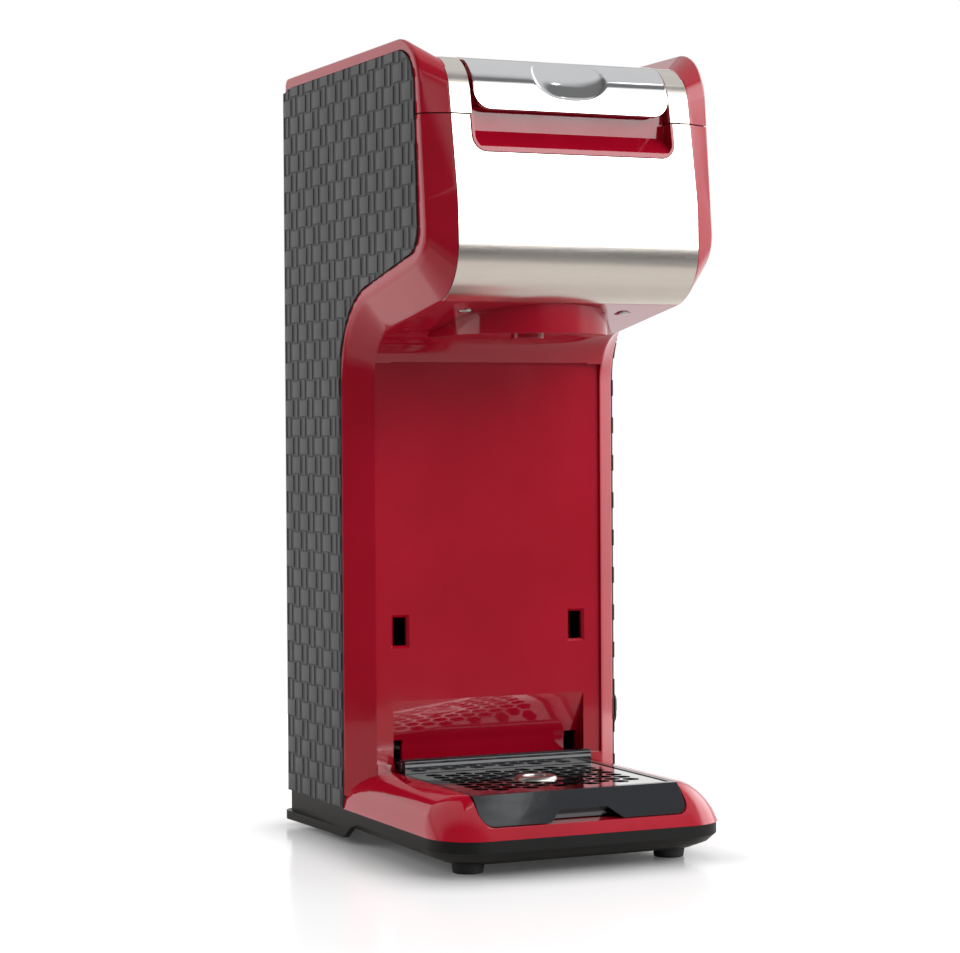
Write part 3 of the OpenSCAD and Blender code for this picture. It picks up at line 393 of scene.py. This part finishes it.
def softened(node, width, finish=None):
    """A copy of a CAD node with its sharp edges rounded to this width in mm."""
    bm = merged(node)
    weight = bm.edges.layers.float.new("bevel_weight_edge")
    for edge in bm.edges:
        edge[weight] = len(edge.link_faces) == 2 and edge.calc_face_angle(0) > SHARP_EDGE
    name = node + "_finished"
    obj = new_object(name, mesh_of(bm, name))
    modify(obj, "BEVEL", width=width * MM, segments=2, limit_method="WEIGHT",
           use_clamp_overlap=True, miter_outer="MITER_ARC")
    return as_piece(smooth(worked_in(obj)), node, finish)


def plain(node, finish):
    """A copy of a CAD node as it is, with flat faces."""
    name = node + "_finished"
    return as_piece(new_object(name, mesh_of(welded(node), name)), node, finish)


EDGE_ROUNDING = {
    "front_shell": 0.25, "lid_shell": 0.25, "back_cover": 0.3, "base_plate": 0.4,
    "rubber_feet": 0.4, "steel_front": 0.15, "pocket_insert": 0.4, "brew_shroud": 0.5,
    "brew_spout": 0.3, "pod_holder": 0.3, "lower_needle": 0.05, "top_deck": 0.3,
    "water_tank": 0.5, "heater": 0.2, "thermostat": 0.3, "check_valve": 0.3, "cold_hose": 0.1,
    "hot_hose": 0.1, "dock_seal": 0.2, "control_board": 0.15, "power_switch": 0.3,
    "button_bezel": 0.12, "cord_gland": 0.3, "hinge_pins": 0.2, "lid_trim": 0.15,
    "lid_liner": 0.3, "upper_needle": 0.05, "pod_seal": 0.2, "water_channel": 0.3,
    "drip_tray": 0.4, "power_button": 0.4}
for node, width in EDGE_ROUNDING.items():
    softened(node, width)
# The grille's many small webs stay crisp, and its sheet and disc are duller than the other steel.
plain("drip_grille", brushed("grille_steel", (0.50, 0.49, 0.48), (0.62, 0.61, 0.60), 0.10,
                             (1, 0.05, 1), 0.004))
softened("grille_disc", 0.15, brushed("disc_steel", (0.40, 0.38, 0.36), (0.54, 0.52, 0.50), 0.3,
                                      (1, 1, 1), 0.004))


# Side panels with their raised basket weave, in mm
CELL_DEPTH, CELL_HEIGHT = 8.8, 8.0
COLUMNS, ROWS = 19, 38
BLOCK_RISE, STRAND_RISE, BORDER_RISE = 0.46, 0.32, 0.42
STRAND_WIDTH, BORDER_WIDTH = 3.0, 1.8
ROOT, CHAMFER = 0.4, 0.15


def tapered_block(name, depth, height, rise, slope):
    """A block on the plane x = 0, rooted a little below it, that narrows as it rises."""
    bm = bmesh.new()
    rings = []
    for x, inset in ((-ROOT, 0), (rise - CHAMFER, slope * 0.7), (rise, slope + 0.25)):
        y, z = depth / 2 - inset, height / 2 - inset
        corners = (x, -y, -z), (x, y, -z), (x, y, z), (x, -y, z)
        rings.append([bm.verts.new(Vector(corner) * MM) for corner in corners])
    for low, high in zip(rings, rings[1:]):
        for i in range(4):
            bm.faces.new((low[i], low[(i + 1) % 4], high[(i + 1) % 4], high[i]))
    bm.faces.new(rings[0][::-1])
    bm.faces.new(rings[-1])
    bmesh.ops.recalc_face_normals(bm, faces=bm.faces)
    return bpy.data.objects.new(name, mesh_of(bm, name))


class Nodes:
    """A geometry node tree with named inputs."""

    def __init__(self, name, **inputs):
        self.tree = bpy.data.node_groups.new(name, "GeometryNodeTree")
        face = self.tree.interface
        face.new_socket("Geometry", in_out="OUTPUT", socket_type="NodeSocketGeometry")
        face.new_socket("Geometry", in_out="INPUT", socket_type="NodeSocketGeometry")
        self.ids = {}
        for label, kind in inputs.items():
            socket = face.new_socket(label, in_out="INPUT", socket_type="NodeSocket" + kind)
            self.ids[label] = socket.identifier
        self.given = self.tree.nodes.new("NodeGroupInput")

    def add(self, kind, settings=(), values=(), output=0):
        node = self.tree.nodes.new(kind)
        for name, value in dict(settings).items():
            setattr(node, name, value)
        for key, value in dict(values).items():
            if isinstance(value, bpy.types.NodeSocket):
                self.tree.links.new(value, node.inputs[key])
            else:
                node.inputs[key].default_value = value
        return node.outputs[output]

    def end(self, made):
        """Gives out what was made, as real faces with the material of the input Finish."""
        solid = self.add("GeometryNodeRealizeInstances", values={0: made})
        painted = self.add("GeometryNodeSetMaterial", values={
            0: solid, "Material": self.given.outputs["Finish"]})
        out = self.tree.nodes.new("NodeGroupOutput")
        self.tree.links.new(painted, out.inputs[0])

    def run(self, obj, **values):
        """obj with what the tree makes from it as its plain mesh."""
        modifier = obj.modifiers.new(self.tree.name, "NODES")
        modifier.node_group = self.tree
        for label, value in values.items():
            modifier[self.ids[label]] = value
        return worked_in(obj)


def weave_tree():
    """Blocks and narrow strands in turn, over a grid of cells in the plane x = 0."""
    g = Nodes("basket_weave", Columns="Int", Rows="Int", Cell_Depth="Float", Cell_Height="Float",
              Block="Object", Strand="Object", Finish="Material")
    given = g.given.outputs

    def maths(operation, a, b):
        return g.add("ShaderNodeMath", {"operation": operation}, {0: a, 1: b})

    width = maths("MULTIPLY", given["Cell_Depth"], maths("SUBTRACT", given["Columns"], 1))
    height = maths("MULTIPLY", given["Cell_Height"], maths("SUBTRACT", given["Rows"], 1))
    grid = g.add("GeometryNodeMeshGrid", values={
        "Size X": width, "Size Y": height,
        "Vertices X": given["Columns"], "Vertices Y": given["Rows"]})
    upright = g.add("GeometryNodeTransform", values={
        0: grid, "Rotation": (math.pi / 2, 0, math.pi / 2)})
    index = g.add("GeometryNodeInputIndex")
    column = maths("FLOOR", maths("DIVIDE", index, given["Rows"]), 0)
    row = maths("MODULO", index, given["Rows"])
    odd = maths("MODULO", maths("ADD", column, row), 2)
    made = []
    for shape, chosen in (("Strand", odd), ("Block", maths("SUBTRACT", 1, odd))):
        source = g.add("GeometryNodeObjectInfo", values={0: given[shape]}, output="Geometry")
        made.append(g.add("GeometryNodeInstanceOnPoints", values={
            "Points": upright, "Selection": chosen, "Instance": source}))
    join = g.tree.nodes.new("GeometryNodeJoinGeometry")
    for part in made:
        g.tree.links.new(part, join.inputs[0])
    g.end(join.outputs[0])
    return g


def panel_outline(node, face):
    """The flat back of a side panel, drawn out to the plane |x| = face, in mm."""
    bm = merged(node)
    back = min(abs(v.co.x) for v in bm.verts)
    side = 1 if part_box(node)[0].x > 0 else -1
    front = [f for f in bm.faces if any(abs(v.co.x) > back + 0.1 * MM for v in f.verts)]
    bmesh.ops.delete(bm, geom=front, context="FACES")
    made = bmesh.ops.extrude_face_region(bm, geom=bm.faces[:], use_keep_orig=True)
    for v in (g for g in made["geom"] if isinstance(g, bmesh.types.BMVert)):
        v.co.x = side * face * MM
    bmesh.ops.recalc_face_normals(bm, faces=bm.faces)
    return mesh_of(bm, node)


def woven_panel(node, side, weave, block, strand):
    """A side panel with a flat ground and the weave standing on it, cut to the panel's outline."""
    low, high = (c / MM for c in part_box(node))
    middle = Vector((side * PANEL_GROUND, high.y - CELL_DEPTH * COLUMNS / 2,
                     low.z + CELL_HEIGHT * ROWS / 2)) * MM
    relief = weave.run(new_object("relief", bpy.data.meshes.new("relief")),
                       Columns=COLUMNS, Rows=ROWS,
                       Cell_Depth=CELL_DEPTH * MM, Cell_Height=CELL_HEIGHT * MM, Block=block,
                       Strand=strand, Finish=FINISHES["grey_weave"].material)
    border = tapered_block("weave_border", BORDER_WIDTH, high.z - low.z + 4, BORDER_RISE, 0.2)
    bpy.context.scene.collection.objects.link(border)
    back_edge = Vector((0, high.y, (low.z + high.z) / 2)) * MM - Vector((0, middle.y, middle.z))
    border.data.transform(Matrix.Translation(back_edge))
    cutter = new_object("cutter", panel_outline(node, PANEL_GROUND + 1))
    panel = new_object(node + "_woven", bpy.data.meshes.new(node + "_woven"))
    whole = bmesh.new()
    whole.from_mesh(panel_outline(node, PANEL_GROUND))
    for part in (relief, border):
        part.data.transform(Matrix.Translation(middle) @ Matrix.Scale(side, 4, (1, 0, 0)))
        if side < 0:
            part.data.flip_normals()
        modify(part, "BOOLEAN", operation="INTERSECT", solver="EXACT", object=cutter)
        whole.from_mesh(worked_in(part).data)
    whole.to_mesh(panel.data)
    whole.free()
    for spare in (relief, border, cutter):
        bpy.data.objects.remove(spare)
    panel.data.shade_smooth()
    panel.data.set_sharp_from_angle(angle=math.radians(25))
    return as_piece(panel, node)


# Blocks are a little deeper than their cells, and strands end just short of the blocks over and
# under them.
block = tapered_block("weave_block", CELL_DEPTH + 0.4, CELL_HEIGHT - 0.8, BLOCK_RISE, 0.3)
strand = tapered_block("weave_strand", STRAND_WIDTH, CELL_HEIGHT + 0.4, STRAND_RISE, 0.15)
weave = weave_tree()
woven_panel("side_panel_left", -1, weave, block, strand)
woven_panel("side_panel_right", 1, weave, block, strand)


# Lid handle, a bent plate with a scoop for the thumb, in mm
BROW_R, HANDLE_LEAN, HANDLE_T, HANDLE_CORNER = 18, math.radians(10.42), 2.2, 7
SCOOP_HALF, SCOOP_LOW, SCOOP_HIGH, SCOOP_DEPTH = 15.5, 5.0, 26.0, 1.7
LENGTH_STEPS, WIDTH_STEPS = 96, 120


def handle_path(low, high):
    """Points and outward normals (y, z) up the handle's outer side, with the way along it in mm."""
    centre_z = high.z - BROW_R
    straight = (centre_z + BROW_R * math.sin(HANDLE_LEAN) - low.z) / math.cos(HANDLE_LEAN)
    centre_y = low.y + BROW_R * math.cos(HANDLE_LEAN) + straight * math.sin(HANDLE_LEAN)
    bend = BROW_R * (math.pi / 2 - HANDLE_LEAN)
    total = straight + bend + high.y - centre_y
    path = []
    for i in range(LENGTH_STEPS + 1):
        way = total * (i / LENGTH_STEPS) ** 1.15
        a = HANDLE_LEAN + min(max((way - straight) / BROW_R, 0), math.pi / 2 - HANDLE_LEAN)
        y, z = centre_y - BROW_R * math.cos(a), centre_z + BROW_R * math.sin(a)
        if way < straight:
            y -= (straight - way) * math.sin(HANDLE_LEAN)
            z -= (straight - way) * math.cos(HANDLE_LEAN)
        if way > straight + bend:
            y += way - straight - bend
        path.append((way, y, z, Vector((0, -math.cos(a), math.sin(a)))))
    return path


def scoop_depth(x, way):
    """How far the thumb scoop sinks into the handle's face."""
    middle, half = (SCOOP_LOW + SCOOP_HIGH) / 2, (SCOOP_HIGH - SCOOP_LOW) / 2
    out = abs(x / SCOOP_HALF) ** 2.4 + abs((way - middle) / half) ** 2.4
    return SCOOP_DEPTH * max(0.0, 1 - out) ** 0.62


def bent_handle(node):
    """The handle's outer and inner sheet with the rim between them. Its lower corners are round."""
    low, high = (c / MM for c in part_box(node))
    bm = bmesh.new()
    outside, inside = [], []
    for way, y, z, normal in handle_path(low, high):
        from_end = min(z - low.z, HANDLE_CORNER)
        half = high.x - HANDLE_CORNER + math.sqrt(
            max(HANDLE_CORNER ** 2 - (HANDLE_CORNER - from_end) ** 2, 0))
        pairs = []
        for i in range(WIDTH_STEPS + 1):
            x = half * (2 * i / WIDTH_STEPS - 1)
            face = Vector((x, y, z))
            sunk, under = face - normal * scoop_depth(x, way), face - normal * HANDLE_T
            pairs.append((bm.verts.new(sunk * MM), bm.verts.new(under * MM)))
        outside.append([pair[0] for pair in pairs])
        inside.append([pair[1] for pair in pairs])
    for sheet, turned in ((outside, False), (inside, True)):
        for a, b in zip(sheet, sheet[1:]):
            for i in range(WIDTH_STEPS):
                quad = (a[i], a[i + 1], b[i + 1], b[i])
                bm.faces.new(quad[::-1] if turned else quad)
    rim = [(outside[0], inside[0]), (outside[-1][::-1], inside[-1][::-1]),
           ([r[0] for r in outside][::-1], [r[0] for r in inside][::-1]),
           ([r[-1] for r in outside], [r[-1] for r in inside])]
    for out, back in rim:
        for i in range(len(out) - 1):
            bm.faces.new((out[i], back[i], back[i + 1], out[i + 1]))
    bmesh.ops.recalc_face_normals(bm, faces=bm.faces)
    obj = new_object(node + "_bent", mesh_of(bm, node + "_bent"))
    modify(obj, "BEVEL", width=0.5 * MM, segments=3, limit_method="ANGLE",
           angle_limit=math.radians(60), use_clamp_overlap=True)
    return as_piece(smooth(worked_in(obj), 50), node)


bent_handle("handle")


# Screws with a cross recess, in mm
HEAD_T, SHANK_R = 1.4, 1.4


def screw_shape(head_r, length):
    """A pan-head screw that stands on the plane z = 0 and points up, its head at the bottom."""
    profile = [(0, 0), (head_r * 0.55, 0), (head_r * 0.88, HEAD_T * 0.22), (head_r, HEAD_T * 0.6),
               (head_r, HEAD_T), (SHANK_R, HEAD_T), (SHANK_R, length), (0, length)]
    bm = bmesh.new()
    chain = [bm.verts.new((r * MM, 0, z * MM)) for r, z in profile]
    edges = [bm.edges.new(pair) for pair in zip(chain, chain[1:])]
    bmesh.ops.spin(bm, geom=chain + edges, cent=(0, 0, 0), axis=(0, 0, 1),
                   angle=2 * math.pi, steps=24)
    bmesh.ops.remove_doubles(bm, verts=bm.verts, dist=WELD / 2)
    bmesh.ops.recalc_face_normals(bm, faces=bm.faces)
    screw = new_object("screw", mesh_of(bm, "screw"))
    deep, half, reach = HEAD_T * 0.75, head_r * 0.13, head_r * 0.52
    for turn in (0, math.pi / 2):
        bm = bmesh.new()
        rings = [[bm.verts.new(Matrix.Rotation(turn, 3, "Z") @ (Vector((x, y, z)) * MM))
                  for x, y in ((-a, -half), (a, -half), (a, half), (-a, half))]
                 for z, a in ((-1, reach * 1.3), (deep, reach * 0.45))]
        for i in range(4):
            bm.faces.new((rings[0][i], rings[0][(i + 1) % 4], rings[1][(i + 1) % 4], rings[1][i]))
        bm.faces.new(rings[0][::-1])
        bm.faces.new(rings[1])
        bmesh.ops.recalc_face_normals(bm, faces=bm.faces)
        slot = new_object("slot", mesh_of(bm, "slot"))
        modify(screw, "BOOLEAN", operation="DIFFERENCE", solver="EXACT", object=slot)
        worked_in(screw)
        bpy.data.objects.remove(slot)
    screw.data.shade_smooth()
    screw.data.set_sharp_from_angle(angle=math.radians(30))
    bpy.context.scene.collection.objects.unlink(screw)
    return screw


def screw_tree():
    """A screw on each point, all pointing one way, each stopped at its own turn."""
    g = Nodes("screws", Screw="Object", Pointing="Vector", Seed="Int", Finish="Material")
    given = g.given.outputs
    shape = g.add("GeometryNodeObjectInfo", values={0: given["Screw"]}, output="Geometry")
    placed = g.add("GeometryNodeInstanceOnPoints", values={
        "Points": given["Geometry"], "Instance": shape, "Rotation": given["Pointing"]})
    random = g.tree.nodes.new("FunctionNodeRandomValue")
    g.tree.links.new(given["Seed"], next(i for i in random.inputs if i.name == "Seed"))
    random.inputs[3].default_value = math.pi
    spin = g.add("ShaderNodeCombineXYZ", values={"Z": random.outputs[1]})
    g.end(g.add("GeometryNodeRotateInstances", values={
        "Instances": placed, "Rotation": spin, "Local Space": True}))
    return g


def islands(node):
    """Lowest and highest corner of each separate solid of a CAD node, in mm."""
    bm = welded(node)
    left, boxes = set(bm.verts), []
    while left:
        reached, edge = set(), [left.pop()]
        while edge:
            v = edge.pop()
            reached.add(v)
            near = {e.other_vert(v) for e in v.link_edges} & left
            left -= near
            edge.extend(near)
        corners = np.array([v.co for v in reached]) / MM
        boxes.append((corners.min(0), corners.max(0)))
    bm.free()
    return boxes


def screwed(node, tree, from_behind=False):
    """The CAD node's screws with rounded heads and cross recesses. Their heads are at the bottom,
    or at the back."""
    boxes = islands(node)
    low, high = boxes[0]
    along = 1 if from_behind else 2
    screw = screw_shape((high[0] - low[0]) / 2, high[along] - low[along])
    spots = []
    for low, high in boxes:
        spot = (low + high) / 2
        spot[along] = high[along] if from_behind else low[along]
        spots.append(spot * MM)
    points = bpy.data.meshes.new(node + "_set")
    points.from_pydata(spots, [], [])
    pointing = (math.pi / 2, 0, 0) if from_behind else (0, 0, 0)
    made = tree.run(new_object(node + "_set", points), Screw=screw, Pointing=pointing, Seed=7,
                    Finish=FINISHES[SLOT[node]].material)
    return as_piece(made, node)


screws = screw_tree()
for node in ("base_screws", "head_screws", "liner_screws"):
    screwed(node, screws)
screwed("back_screws", screws, from_behind=True)


# Floor, sky and lamps, in metres and watts
def floor_lift_and_painted_shadow(f):
    """How much the floor is lifted towards white, so that it runs into the backdrop. The lift fades
    out near and under the object's footprint, which paints a soft shadow round its foot on top of its
    real shadow. Gloss sees some of it behind the object."""
    half_width, half_depth = 0.052, 0.075
    x, y = f.axis("X"), f.axis("Y")
    beside = (abs(x) - half_width).at_least(0)
    before = (abs(y) - half_depth).at_least(0)
    away = (beside * beside + before * before) ** 0.5
    far = away.between(0.12, 0.36)
    behind = far * y.between(-0.05, 0.15) * 0.5
    # Painted shadow: the lift is least at the footprint's edge and grows over 4 cm, so the floor
    # round the object stays darker whatever the light.
    return (f.rays("Camera") * (away.between(0.0, 0.04, 0.04, 0.38) + far * 0.6)
            + f.rays("Glossy", "Transmission") * behind)


def add_floor():
    """A white disc, slightly polished to the camera and matt to all other rays."""
    bm = bmesh.new()
    bmesh.ops.create_circle(bm, cap_ends=True, segments=96, radius=0.5)
    floor = new_object("floor", mesh_of(bm, "floor"))
    f = Finish("white_floor", base_color=(0.6, 0.6, 0.6), roughness=0.16, specular_ior_level=0.18)
    unseen = f.add("ShaderNodeBsdfPrincipled", values={
        "Base Color": f.mix(f.rays("Glossy", "Transmission"), (0.8, 0.8, 0.8), (0.48, 0.46, 0.44)),
        "Specular IOR Level": 0.0, "Roughness": 1.0})
    body = f.add("ShaderNodeMixShader", values={
        0: f.rays("Camera"), 1: unseen, 2: Signal(f, f.surface.outputs[0])})
    glow = f.add("ShaderNodeEmission", values={"Color": (1, 1, 1), "Strength": floor_lift_and_painted_shadow(f)})
    total = f.add("ShaderNodeAddShader", values={0: body, 1: glow})
    output = next(n for n in f.tree.nodes if n.type == "OUTPUT_MATERIAL")
    f.tree.links.new(total.socket, output.inputs[0])
    floor.data.materials.append(f.material)


def studio_seen(x, y, z):
    """What gloss and metal reflect in the direction x, y, z: a pale backdrop behind the object, and
    in front a dark room with a large softbox, a dimmer one on the left, a window and a wall on the
    right, a bright strip at the left edge, a grey ceiling with a seam and a table below."""
    backdrop = y.between(0.2, 0.55) * z.between(0.3, 0.6, 1, 0) * x.between(-0.3, 0.5, 0.95, 1)
    softbox = (x.between(-0.25, 0.05) * z.between(0.05, 0.13) * z.between(0.45, 0.62, 5.3, 1.3)
               * z.between(0.70, 0.77, 1, 0) * y.between(-0.40, -0.15, 1, 0))
    window = x.between(0.6, 0.8) * z.between(0.15, 0.3) * z.between(0.62, 0.75, 3, 0)
    wall = (x.between(0.60, 0.85) * z.between(-0.2, 0.1, 0.4, 1) * z.between(0.3, 0.6, 1, 0)
            * y.between(-0.8, -0.4))
    strip = (x.between(-0.8, -0.7, 1, 0) * y.between(0.12, 0.17) * z.between(-0.3, -0.2)
             * z.between(0.2, 0.3, 1.1, 0))
    seam = z.between(0.79, 0.84, 0.8, 0.1) * y.between(-0.35, -0.1, 1, 0)
    ceiling = z.between(0.3, 0.6) * (y + x * 0.5).between(-0.35, 0.0, 0.03, 0.65) * (1 - seam)
    fill = (x.between(-0.35, -0.1, 0.8, 0) * y.between(-0.5, -0.2, 1, 0) * z.between(0.28, 0.42)
            * z.between(0.62, 0.76, 1, 0))
    room = x.between(-0.3, 0.3, 0.08, 0.18)
    table = z.between(-0.4, -0.15, 0.32, 0)
    return (backdrop.at_least(wall).at_least(ceiling).at_least(strip).at_least(room).at_least(table)
            .at_least(window).at_least(fill).at_least(softbox))


def add_sky():
    """White to the camera, a studio to gloss and metal, and soft light from above to the rest."""
    world = bpy.data.worlds.new("studio")
    bpy.context.scene.world = world
    world.use_nodes = True
    f = Finish("studio", tree=world.node_tree)
    direction = f.add("ShaderNodeTexCoord", output="Generated")
    x, y, z = (f.add("ShaderNodeSeparateXYZ", values={0: direction}, output=axis) for axis in "XYZ")
    soft = (z.between(-0.1, 0.25, 0.25, 0.85) * z.between(0.6, 0.9, 1.0, 0.4)
            * x.between(-0.9, 0.6, 0.38, 1.0))
    camera, gloss = f.rays("Camera"), f.rays("Glossy", "Transmission")
    strength = camera + gloss * studio_seen(x, y, z) + (1 - camera - gloss) * soft
    back = f.add("ShaderNodeBackground", values={"Color": (1, 1, 1), "Strength": strength})
    out = f.tree.nodes.new("ShaderNodeOutputWorld")
    f.tree.links.new(back.socket, out.inputs[0])


def add_lamp(name, spot, target, size, power, mirrored=False):
    """A lamp that only lights matt surfaces, or only shows as a mirrored glint."""
    data = bpy.data.lights.new(name, "AREA")
    data.shape, data.size, data.size_y = "RECTANGLE", *size
    data.energy = power
    lamp = bpy.data.objects.new(name, data)
    bpy.context.scene.collection.objects.link(lamp)
    ahead = (Vector(target) - Vector(spot)).normalized()
    lamp.visible_glossy, lamp.visible_diffuse = mirrored, not mirrored
    lamp.visible_camera = False
    turn = ahead.to_track_quat("-Z", "Y").to_matrix().to_4x4()
    lamp.matrix_world = Matrix.Translation(spot) @ turn


add_camera()
add_floor()
add_sky()
add_lamp("key", (1.4, -1.1, 1.0), (0, 0, 0.2), (1.6, 1.6), 22)
add_lamp("front", (0.7, -1.8, 1.4), (0, 0, 0.2), (1.8, 1.2), 15.5)
add_lamp("top", (0.35, 0.1, 1.7), (0, 0, 0.1), (1.2, 1.2), 8)
add_lamp("left", (-1.35, 0.75, 0.65), (0, 0, 0.15), (1.2, 1.2), 20)
add_lamp("right", (1.5, 0.35, 0.45), (0, 0, 0.15), (1.0, 1.0), 14)
add_lamp("glint", (0.462, -0.330, 1.084), (-0.03, -0.0775, 0.022), (0.06, 0.035), 0.013,
         mirrored=True)

scene = bpy.context.scene
scene.view_settings.view_transform = "Standard"
